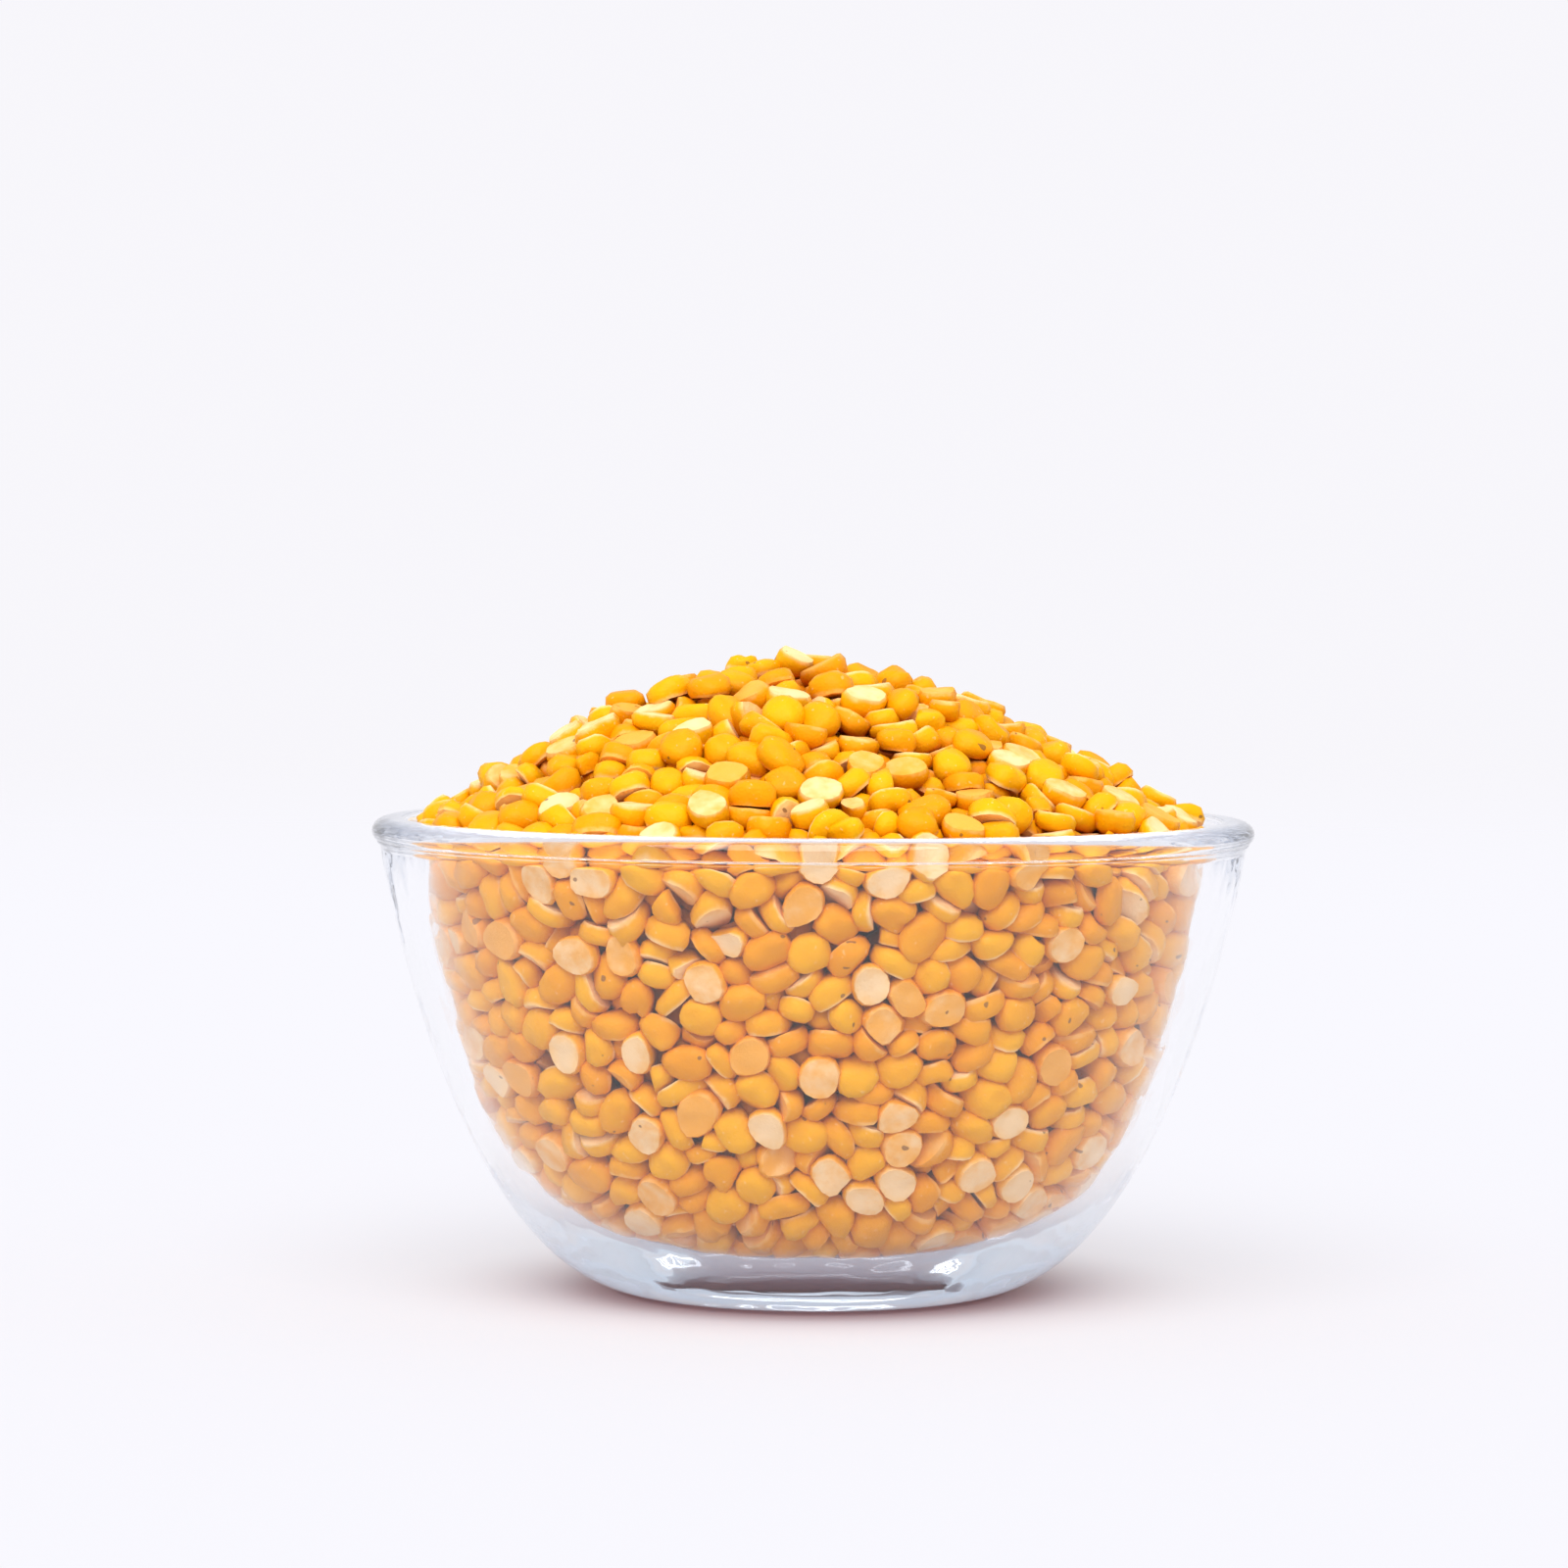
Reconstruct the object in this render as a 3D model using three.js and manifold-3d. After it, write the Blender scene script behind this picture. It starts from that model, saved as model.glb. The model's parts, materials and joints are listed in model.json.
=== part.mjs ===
// A clear pressed-glass bowl, heaped above its rim with dry split chickpeas.
// Millimetres, +Z up, origin on the ground under the middle of the bowl.

import * as THREE from 'three';
import { ConvexHull } from 'three/addons/math/ConvexHull.js';
import { mergeVertices } from 'three/addons/utils/BufferGeometryUtils.js';
import Module from 'manifold-3d';

const wasm = await Module();
wasm.setup();

// The bowl
const bowlHeight = 70;
const beadRadius = 65.2; // outermost, at the middle of the rim's bead
const beadHeight = 3.9;
const wallRadius = 64.0; // outer wall, just under the bead
const outerLean = [2, 14]; // the upper outer wall leans this far in over this far down
const outerSweep = 24.5; // how far the curve from the foot runs out
const rimThickness = 3.7;
const lipRound = 0.8; // inner edge of the rim
const floorThickness = 5.8;
const floorRadius = 21.5; // where the inside's floor starts to curve up
const innerSweep = 29.5;
const innerLean = [6.8, 19];
const footRadius = 25; // of the flat underside that the bowl stands on
const bowlSides = 56;

// The heap
const crownHeight = 24; // over the rim
const crownShift = 3.5; // the summit lies this far towards -X
const moundReach = 61;
const moundPower = 1.5;
const glassGap = 0.4;
const skirtRadius = 55.4; // where the open mound begins, inside the rim

// The chickpea halves: bumps of their size all over the core, and a few whole ones on the mound
const wallPitch = 7.4;
const moundPitch = 7.0;
const rowStep = 0.87; // distance between staggered rows, as a share of the pitch
const bumpDepth = 2.1;
const bumpUneven = 0.7; // how far a bump on the mound lies above or below its surface
const bumpTilt = 0.4; // steepest slope of a bump's top on the mound
const domeRise = 1.1;
const grainSpacing = 22;
const grainLength = [7.2, 8.4];
const grainBreadth = [6.0, 6.9];
const grainHeight = [3.2, 3.8];
const grainSides = 7;

const beadMiddle = bowlHeight - beadHeight / 2;
const wallTop = bowlHeight - beadHeight;
const mouthRadius = wallRadius - rimThickness;
const mouthTop = bowlHeight - lipRound;

// Both walls flare from a round lower corner to a nearly straight upper side
const outerWall = new THREE.CubicBezierCurve(
  new THREE.Vector2(footRadius, 0),
  new THREE.Vector2(footRadius + outerSweep, 0),
  new THREE.Vector2(wallRadius - outerLean[0], wallTop - outerLean[1]),
  new THREE.Vector2(wallRadius, wallTop),
);
const innerWall = new THREE.CubicBezierCurve(
  new THREE.Vector2(floorRadius, floorThickness),
  new THREE.Vector2(floorRadius + innerSweep, floorThickness),
  new THREE.Vector2(mouthRadius - innerLean[0], mouthTop - innerLean[1]),
  new THREE.Vector2(mouthRadius, mouthTop),
);

// Random numbers that come out the same each time
function seededRandom(seed) {
  let state = seed;
  return () => {
    state = (state * 1664525 + 1013904223) % 4294967296;
    return state / 4294967296;
  };
}

// A number between the two ends of a range
function between([low, high], share) {
  return low + (high - low) * share;
}

// Closed triangles without repeated corners, as a solid that can be joined
function solidFrom(geometry) {
  const bare = geometry.clone();
  bare.deleteAttribute('normal');
  bare.deleteAttribute('uv');
  const merged = mergeVertices(bare, 1e-3);
  const corners = [];
  const index = merged.index.array;
  for (let i = 0; i < index.length; i += 3) {
    const [a, b, c] = [index[i], index[i + 1], index[i + 2]];
    if (a !== b && b !== c && c !== a) corners.push(a, b, c);
  }
  return new wasm.Manifold(new wasm.Mesh({
    numProp: 3,
    vertProperties: new Float32Array(merged.attributes.position.array),
    triVerts: new Uint32Array(corners),
  }));
}

function geometryFrom(solid) {
  const mesh = solid.getMesh();
  const geometry = new THREE.BufferGeometry();
  geometry.setAttribute('position', new THREE.BufferAttribute(mesh.vertProperties, 3));
  geometry.setIndex(new THREE.BufferAttribute(mesh.triVerts, 1));
  geometry.computeVertexNormals();
  return geometry;
}

// The rounded rim: an elliptic bead outside, a flat top and a small round inner edge
function rimPoints() {
  const beadWidth = 2.4;
  const bead = new THREE.EllipseCurve(
    beadRadius - beadWidth, beadMiddle, beadWidth, beadHeight / 2, -0.25 * Math.PI, 0.5 * Math.PI,
  );
  const lip = new THREE.EllipseCurve(
    mouthRadius + lipRound, mouthTop, lipRound, lipRound, 0.5 * Math.PI, Math.PI,
  );
  return [...bead.getPoints(4), ...lip.getPoints(2)];
}

// One outline from the axis under the bowl, round its outside and back to the axis inside
function bowlOutline() {
  return [
    new THREE.Vector2(0, 0),
    ...outerWall.getSpacedPoints(10),
    ...rimPoints(),
    ...innerWall.getSpacedPoints(10).reverse().slice(1),
    new THREE.Vector2(0, floorThickness),
  ];
}

function bowlGeometry() {
  const geometry = new THREE.LatheGeometry(bowlOutline(), bowlSides);
  return geometry.rotateX(Math.PI / 2);
}

// Height of the heap's open surface at a place on the plan
function moundTop(x, y) {
  const lean = crownShift * Math.max(0, 1 - Math.hypot(x, y) / mouthRadius);
  const reach = Math.hypot(x + lean, y) / moundReach;
  return bowlHeight + crownHeight * (1 - reach ** moundPower);
}

// Outward direction of the heap's open surface
function moundNormal(x, y) {
  const step = 1.5;
  const slopeX = (moundTop(x + step, y) - moundTop(x - step, y)) / (2 * step);
  const slopeY = (moundTop(x, y + step) - moundTop(x, y - step)) / (2 * step);
  return new THREE.Vector3(-slopeX, -slopeY, 1).normalize();
}

// Rows of bumps round the core: over the floor, up the glass and over the mound to its summit
function coreRows() {
  const rows = [];
  for (let r = 0; r < floorRadius - wallPitch / 2; r += wallPitch * rowStep) {
    rows.push({ r, z: floorThickness + glassGap, pitch: wallPitch });
  }
  const climb = Math.round(innerWall.getLength() / (wallPitch * rowStep));
  for (let i = 0; i <= climb; i += 1) {
    const point = innerWall.getPointAt(i / climb);
    const tangent = innerWall.getTangentAt(i / climb);
    const r = point.x - tangent.y * glassGap;
    rows.push({ r, z: point.y + tangent.x * glassGap, pitch: wallPitch });
  }
  const open = Math.round(skirtRadius * 1.1 / (moundPitch * rowStep));
  for (let i = 0; i <= open; i += 1) {
    rows.push({ r: skirtRadius * (1 - i / open), onMound: true, pitch: moundPitch });
  }
  return rows;
}

// The bumps' middles, and the place of each on a unit sphere, which settles its neighbours
function coreBumps() {
  const random = seededRandom(11);
  const rows = coreRows();
  return rows.flatMap(({ r, z, onMound, pitch }, row) => {
    const count = Math.max(1, Math.round(2 * Math.PI * r / pitch));
    const polar = Math.PI * (1 - row / (rows.length - 1));
    return Array.from({ length: count }, (_, i) => {
      const wobble = count > 1 ? between([-0.16, 0.16], random()) : 0;
      const angle = 2 * Math.PI * (i + 0.5 * (row % 2) + wobble) / count;
      const x = r * Math.cos(angle);
      const y = r * Math.sin(angle);
      const lift = between([-bumpUneven, bumpUneven], random());
      return {
        onMound,
        middle: new THREE.Vector3(x, y, onMound ? moundTop(x, y) - domeRise + lift : z),
        onSphere: new THREE.Vector3().setFromSphericalCoords(1, polar, angle),
      };
    });
  });
}

// The top of a bump on the mound: flat like a cut face, or domed, and tilted at random
function bumpTop(middle, random) {
  const normal = moundNormal(middle.x, middle.y);
  const slope = new THREE.Vector3(random() - 0.5, random() - 0.5, 0).multiplyScalar(2 * bumpTilt);
  const flat = random() < 0.45;
  const reach = flat ? 0.84 : 0.62;
  const edge = (hollow) => {
    const aside = hollow.clone().sub(middle).projectOnPlane(normal);
    return middle.clone().addScaledVector(aside, reach).addScaledVector(normal, aside.dot(slope));
  };
  return { edge, peak: middle.clone().addScaledVector(normal, flat ? 0 : domeRise) };
}

// The core: each bump is a fan of triangles out to the hollows round it, which it shares with
// its neighbours, and on the mound it has a rim and a top of its own
function coreGeometry(bumps) {
  const random = seededRandom(5);
  const heart = new THREE.Vector3(0, 0, bowlHeight * 0.68);
  const numberOf = new Map(bumps.map(({ onSphere }, i) => [onSphere, i]));
  const hull = new ConvexHull().setFromPoints(bumps.map(({ onSphere }) => onSphere));
  const places = bumps.map(({ middle }) => middle);
  const hollowOf = new Map(hull.faces.map((face) => {
    const hollow = new THREE.Vector3();
    for (const i of [0, 1, 2]) {
      hollow.addScaledVector(bumps[numberOf.get(face.getEdge(i).head().point)].middle, 1 / 3);
    }
    hollow.addScaledVector(heart.clone().sub(hollow).normalize(), bumpDepth);
    return [face, places.push(hollow) - 1];
  }));
  const tops = bumps.map(({ middle, onMound }) => (onMound ? bumpTop(middle, random) : null));
  bumps.forEach(({ onMound }, i) => {
    if (onMound) places[i] = tops[i].peak;
  });
  const edges = new Map();
  const edgeOf = (bump, hollow) => {
    const key = `${bump} ${hollow}`;
    if (!edges.has(key)) edges.set(key, places.push(tops[bump].edge(places[hollow])) - 1);
    return edges.get(key);
  };
  const corners = [];
  for (const face of hull.faces) {
    for (const side of [0, 1, 2].map((i) => face.getEdge(i))) {
      const bump = numberOf.get(side.tail().point);
      const [right, left] = [hollowOf.get(side.twin.face), hollowOf.get(face)];
      if (bumps[bump].onMound) {
        const [near, far] = [edgeOf(bump, right), edgeOf(bump, left)];
        corners.push(right, left, far, right, far, near, bump, near, far);
      } else {
        corners.push(bump, right, left);
      }
    }
  }
  const geometry = new THREE.BufferGeometry().setFromPoints(places);
  geometry.setIndex(corners);
  return geometry;
}

// A split half: one flat face and one dome, with a slightly uneven outline
function grainGeometry(length, breadth, height, random) {
  const outline = [[0, 0], [1, 0.14], [0.7, 0.8], [0, 1]].map(([r, z]) => new THREE.Vector2(r, z));
  const geometry = new THREE.LatheGeometry(outline, grainSides).rotateX(Math.PI / 2);
  const stretch = Array.from({ length: grainSides }, () => between([0.93, 1.07], random()));
  const position = geometry.attributes.position;
  for (let i = 0; i < position.count; i += 1) {
    const [x, y, z] = [position.getX(i), position.getY(i), position.getZ(i)];
    const side = Math.round(Math.atan2(y, x) / (2 * Math.PI) * grainSides + grainSides) % grainSides;
    const out = stretch[side];
    position.setXYZ(i, x * out * length / 2, y * out * breadth / 2, (z - 0.5) * height);
  }
  return geometry;
}

// One whole half lying on the mound, turned at random, dome up or flat face up
function mountedGrain(x, y, random) {
  const size = random();
  const geometry = grainGeometry(
    between(grainLength, size), between(grainBreadth, size), between(grainHeight, random()), random,
  );
  const normal = moundNormal(x, y);
  const up = new THREE.Vector3(0, 0, random() < 0.5 ? 1 : -1);
  const tilt = new THREE.Euler(between([-0.5, 0.5], random()), between([-0.5, 0.5], random()), 0);
  const turn = new THREE.Quaternion().setFromUnitVectors(up, normal)
    .multiply(new THREE.Quaternion().setFromEuler(tilt))
    .multiply(new THREE.Quaternion().setFromAxisAngle(up, 2 * Math.PI * random()));
  const middle = new THREE.Vector3(x, y, moundTop(x, y));
  geometry.applyMatrix4(new THREE.Matrix4().compose(middle, turn, new THREE.Vector3(1, 1, 1)));
  return solidFrom(geometry);
}

// Whole halves spread evenly over the mound, in rings round its summit
function mountedGrains() {
  const random = seededRandom(29);
  const rows = Math.round(skirtRadius / grainSpacing);
  return Array.from({ length: rows }, (_, row) => {
    const r = (skirtRadius - grainLength[1] / 2) * (row + 0.5) / (rows - 0.5);
    const count = Math.round(2 * Math.PI * r / grainSpacing);
    return Array.from({ length: count }, (__, i) => {
      const angle = 2 * Math.PI * (i + 0.5 * row + between([-0.15, 0.15], random())) / count;
      return mountedGrain(r * Math.cos(angle), r * Math.sin(angle), random);
    });
  }).flat();
}

// Core and halves as one closed body: the largest piece of the join, without loose scraps
function heapGeometry() {
  const joined = wasm.Manifold.union([solidFrom(coreGeometry(coreBumps())), ...mountedGrains()]);
  const pieces = joined.decompose().sort((a, b) => b.volume() - a.volume());
  return geometryFrom(pieces[0]);
}

function namedMesh(name, geometry, material) {
  const mesh = new THREE.Mesh(geometry, material);
  mesh.name = name;
  return mesh;
}

const clearGlass = new THREE.MeshStandardMaterial({
  color: 0xe9eef4, roughness: 0.04, metalness: 0, transparent: true, opacity: 0.35,
});
const driedChickpea = new THREE.MeshStandardMaterial({ color: 0xf0ae2c, roughness: 0.55, metalness: 0 });

const bowlOfChickpeas = new THREE.Group();
bowlOfChickpeas.add(namedMesh('bowl', bowlGeometry(), clearGlass));
bowlOfChickpeas.add(namedMesh('chickpea_heap', heapGeometry(), driedChickpea));

export default bowlOfChickpeas;
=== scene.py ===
import json
import math

import bpy
import numpy as np
from mathutils import Euler, Matrix, Vector
from mathutils.kdtree import KDTree

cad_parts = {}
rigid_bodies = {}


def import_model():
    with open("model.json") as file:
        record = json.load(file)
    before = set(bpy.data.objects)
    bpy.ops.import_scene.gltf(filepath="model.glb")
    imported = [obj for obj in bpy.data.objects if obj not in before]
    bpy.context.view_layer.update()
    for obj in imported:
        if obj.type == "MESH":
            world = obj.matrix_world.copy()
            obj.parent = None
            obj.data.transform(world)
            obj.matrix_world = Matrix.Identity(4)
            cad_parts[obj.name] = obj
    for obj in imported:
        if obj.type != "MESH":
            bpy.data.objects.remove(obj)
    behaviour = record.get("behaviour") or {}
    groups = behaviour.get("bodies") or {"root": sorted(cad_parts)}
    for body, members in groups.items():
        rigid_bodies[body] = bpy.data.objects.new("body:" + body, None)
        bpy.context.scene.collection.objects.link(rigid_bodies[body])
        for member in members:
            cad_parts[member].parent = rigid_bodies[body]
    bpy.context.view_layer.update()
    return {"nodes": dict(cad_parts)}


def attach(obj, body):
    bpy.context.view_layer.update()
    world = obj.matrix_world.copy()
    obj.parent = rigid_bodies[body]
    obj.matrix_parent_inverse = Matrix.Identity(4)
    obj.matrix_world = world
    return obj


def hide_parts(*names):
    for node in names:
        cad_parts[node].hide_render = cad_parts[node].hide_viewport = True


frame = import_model()
scene = bpy.context.scene
mm = 0.001
print("frame loaded:", ", ".join(sorted(frame["nodes"])))


# One output of a node tree, so that sums on it are written as Python
class Wire:
    def __init__(self, nodes, socket):
        self.nodes = nodes
        self.socket = socket

    def sum(self, operation, first, second):
        return self.nodes.add("ShaderNodeMath", {"operation": operation}, {0: first, 1: second})

    def __add__(self, other):
        return self.sum("ADD", self, other)

    def __sub__(self, other):
        return self.sum("SUBTRACT", self, other)

    def __rsub__(self, other):
        return self.sum("SUBTRACT", other, self)

    def __mul__(self, other):
        return self.sum("MULTIPLY", self, other)

    def __pow__(self, other):
        return self.sum("POWER", self, other)

    __radd__ = __add__
    __rmul__ = __mul__


# Adds nodes to a tree: first the settings, then the values or links of the sockets
class NodeBench:
    def __init__(self, tree):
        self.tree = tree

    def add(self, kind, settings=None, values=None, out=0):
        node = self.tree.nodes.new(kind)
        for name, value in (settings or {}).items():
            setattr(node, name, value)
        for socket, value in (values or {}).items():
            self.plug(node.inputs[socket], value)
        return Wire(self, node.outputs[out]) if node.outputs else node

    def plug(self, socket, value):
        if isinstance(value, Wire):
            self.tree.links.new(value.socket, socket)
        else:
            socket.default_value = value

    # The Mix node's colours are its inputs 6 and 7 and its output 2
    def mixColour(self, share, first, second):
        first = first if isinstance(first, Wire) else (*first, 1.0)
        second = second if isinstance(second, Wire) else (*second, 1.0)
        return self.add("ShaderNodeMix", {"data_type": "RGBA"}, {0: share, 6: first, 7: second}, out=2)

    def ramp(self, value, low, high):
        settings = {"interpolation_type": "SMOOTHSTEP"}
        return self.add("ShaderNodeMapRange", settings, {0: value, 1: low, 2: high})

    def noise(self, place, scale, detail):
        values = {"Vector": place, "Scale": scale, "Detail": detail}
        return self.add("ShaderNodeTexNoise", None, values)

    def objectPlace(self):
        return self.add("ShaderNodeTexCoord", out="Object")

    def attribute(self, name):
        return self.add("ShaderNodeAttribute", {"attribute_name": name}, out="Fac")


def newMaterial(name):
    material = bpy.data.materials.new(name)
    material.use_nodes = True
    material.node_tree.nodes.clear()
    return material, NodeBench(material.node_tree)


# A geometry tree with named inputs; returns the tree, its bench and a wire for each input
def newGeometryTree(name, inputs):
    tree = bpy.data.node_groups.new(name, "GeometryNodeTree")
    tree.interface.new_socket("Geometry", in_out="INPUT", socket_type="NodeSocketGeometry")
    for label, kind in inputs.items():
        tree.interface.new_socket(label, in_out="INPUT", socket_type=kind)
    tree.interface.new_socket("Geometry", in_out="OUTPUT", socket_type="NodeSocketGeometry")
    bench = NodeBench(tree)
    entry = tree.nodes.new("NodeGroupInput")
    wires = {label: Wire(bench, entry.outputs[label]) for label in ["Geometry", *inputs]}
    return tree, bench, wires


def closeTree(bench, result):
    leave = bench.tree.nodes.new("NodeGroupOutput")
    bench.tree.links.new(result.socket, leave.inputs[0])


# Runs a geometry tree on a piece and keeps the outcome as a plain mesh
def bakeTree(piece, tree, settings):
    modifier = piece.modifiers.new(tree.name, "NODES")
    modifier.node_group = tree
    labels = {item.name: item.identifier for item in tree.interface.items_tree if item.in_out == "INPUT"}
    for label, value in settings.items():
        modifier[labels[label]] = value
    bpy.context.view_layer.update()
    graph = bpy.context.evaluated_depsgraph_get()
    mesh = bpy.data.meshes.new_from_object(piece.evaluated_get(graph))
    piece.modifiers.remove(modifier)
    old = piece.data
    piece.data = mesh
    mesh.name = piece.name
    bpy.data.meshes.remove(old)
    return piece


def meshPiece(name, points, edges=(), faces=(), collection=None):
    mesh = bpy.data.meshes.new(name)
    mesh.from_pydata([tuple(p) for p in points], edges, faces)
    mesh.update()
    piece = bpy.data.objects.new(name, mesh)
    (collection or scene.collection).objects.link(piece)
    return piece


# The camera, in metres and degrees, with its lens and sensor in millimetres
cameraSetup = {
    "distance": 0.8,        # in front of the bowl's middle
    "height": 0.1074,
    "lens": 124.07,
    "sensor": 36,
    "nearest": 0.05,        # nothing closer is seen
    "pitch": 2.324,         # downwards
    "yaw": 0.31,            # towards -X
    "roll": 0.3,
}


def makeCamera(setup):
    camera = bpy.data.objects.new("camera", bpy.data.cameras.new("camera"))
    scene.collection.objects.link(camera)
    camera.data.lens = setup["lens"]
    camera.data.sensor_width = setup["sensor"]
    camera.data.clip_start = setup["nearest"]
    camera.location = (0, -setup["distance"], setup["height"])
    look = Euler((math.radians(90 - setup["pitch"]), 0, math.radians(setup["yaw"])))
    roll = Euler((0, 0, math.radians(setup["roll"])))
    camera.rotation_euler = (look.to_matrix() @ roll.to_matrix()).to_euler()
    scene.camera = camera


makeCamera(cameraSetup)
print("camera placed")

# The bowl
bowl = {
    "height": 70,
    "beadRadius": 65.2,     # outermost, at the middle of the rim's bead
    "beadHeight": 3.9,
    "beadWidth": 2.4,
    "wallRadius": 64.0,     # outer wall, just under the bead
    "outerLean": (2, 14),   # the upper outer wall leans this far in over this far down
    "outerSweep": 24.5,     # how far out the curve from the foot is pulled
    "rimThickness": 3.7,
    "lipRound": 0.8,
    "seam": 0.5,            # ridge that the mould leaves under the bead
    "floorThickness": 5.8,
    "floorRadius": 21.5,    # where the inside's floor starts to curve up
    "innerSweep": 29.5,     # these two as on the outer wall
    "innerLean": (6.8, 19),
    "footRadius": 25,       # of the flat underside
    "wallSteps": 48,
    "seamArc": (-75, 50, 9),    # start and end in degrees, and the points
    "beadArc": (-50, 90, 20),
    "lipArc": (90, 180, 7),
    "segments": 192,
    "sweepRadius": 100,     # of the guide circle, from which the outline is set off
    "joinWithin": 0.001,    # points closer than this are joined
    "rippleSize": 9,
    "rippleDepth": 0.05,
}
mouthRadius = bowl["wallRadius"] - bowl["rimThickness"]
mouthTop = bowl["height"] - bowl["lipRound"]
wallTop = bowl["height"] - bowl["beadHeight"]


def bezier(corners, count):
    share = np.linspace(0, 1, count)[:, None]
    points = [np.repeat(np.array([corner], float), count, 0) for corner in corners]
    while len(points) > 1:
        points = [a * (1 - share) + b * share for a, b in zip(points, points[1:])]
    return points[0]


def arc(middle, across, up, start, end, count):
    turn = np.radians(np.linspace(start, end, count))
    return np.stack([middle[0] + across * np.cos(turn), middle[1] + up * np.sin(turn)], 1)


def innerWall(count):
    start, floor = bowl["floorRadius"], bowl["floorThickness"]
    lean, drop = bowl["innerLean"]
    corners = [
        (start, floor),
        (start + bowl["innerSweep"], floor),
        (mouthRadius - lean, mouthTop - drop),
        (mouthRadius, mouthTop),
    ]
    return bezier(corners, count)


def outerWall(count):
    foot, top = bowl["footRadius"], bowl["wallRadius"]
    lean, drop = bowl["outerLean"]
    corners = [(foot, 0), (foot + bowl["outerSweep"], 0), (top - lean, wallTop - drop), (top, wallTop)]
    return bezier(corners, count)


# From the axis under the bowl, round its outside and back to the axis inside
def bowlOutline():
    beadMiddle = (bowl["beadRadius"] - bowl["beadWidth"], bowl["height"] - bowl["beadHeight"] / 2)
    lipMiddle = (mouthRadius + bowl["lipRound"], mouthTop)
    seamMiddle = (bowl["wallRadius"], wallTop + bowl["seam"])
    return np.concatenate([
        [(0, 0)],
        outerWall(bowl["wallSteps"]),
        arc(seamMiddle, bowl["seam"], bowl["seam"], *bowl["seamArc"]),
        arc(beadMiddle, bowl["beadWidth"], bowl["beadHeight"] / 2, *bowl["beadArc"]),
        arc(lipMiddle, bowl["lipRound"], bowl["lipRound"], *bowl["lipArc"]),
        innerWall(bowl["wallSteps"])[::-1][1:],
        [(0, bowl["floorThickness"])],
    ])


# Sweeps the outline round the axis, with the slight ripples of pressed glass
def latheTree():
    inputs = {
        "Segments": "NodeSocketInt",
        "Sweep radius": "NodeSocketFloat",
        "Join within": "NodeSocketFloat",
        "Ripple size": "NodeSocketFloat",
        "Ripple depth": "NodeSocketFloat",
        "Material": "NodeSocketMaterial",
    }
    tree, bench, wires = newGeometryTree("glass_lathe", inputs)
    profile = bench.add("GeometryNodeMeshToCurve", None, {0: wires["Geometry"]})
    values = {"Resolution": wires["Segments"], "Radius": wires["Sweep radius"]}
    circle = bench.add("GeometryNodeCurvePrimitiveCircle", None, values)
    swept = bench.add("GeometryNodeCurveToMesh", None, {0: circle, 1: profile})
    closed = bench.add("GeometryNodeMergeByDistance", None, {0: swept, 2: wires["Join within"]})
    place = bench.add("GeometryNodeInputPosition")
    wave = bench.noise(place, wires["Ripple size"] ** -1, 1.0)
    normal = bench.add("GeometryNodeInputNormal")
    rise = (wave - 0.5) * wires["Ripple depth"]
    push = bench.add("ShaderNodeVectorMath", {"operation": "SCALE"}, {0: normal, "Scale": rise})
    moved = bench.add("GeometryNodeSetPosition", None, {0: closed, "Offset": push})
    smooth = bench.add("GeometryNodeSetShadeSmooth", None, {0: moved})
    whole = bench.add("GeometryNodeRealizeInstances", None, {0: smooth})
    closeTree(bench, bench.add("GeometryNodeSetMaterial", None, {0: whole, 2: wires["Material"]}))
    return tree


glassLook = {
    "tint": (1.0, 1.0, 1.0),
    "baseTint": (0.66, 0.77, 0.87),     # the thick base looks a little blue
    "tintFade": (0.018, 0.004),         # heights between which that tint comes in
    "bend": 1.5,
    "haze": (0.40, 0.57, 0.82),
    "hazeDensity": 1.2,
    "ripple": 0.04,
    "rippleScale": 160.0,
    "rippleRise": 0.001,
    "thinShade": (0.955, 0.92, 0.98),   # what passes on to the floor and the halves
    "thickShade": (0.80, 0.65, 0.67),   # the same through the base
    "thickFade": (0.011, 0.0022),       # heights between which the base's shade comes in
    "slantShade": (0.50, 0.37, 0.41),   # and aslant through the underside
    "slantFade": (0.3, 0.5),            # from how far aslant
    "undersideFade": (0.0008, 0.0004),
}


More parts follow.
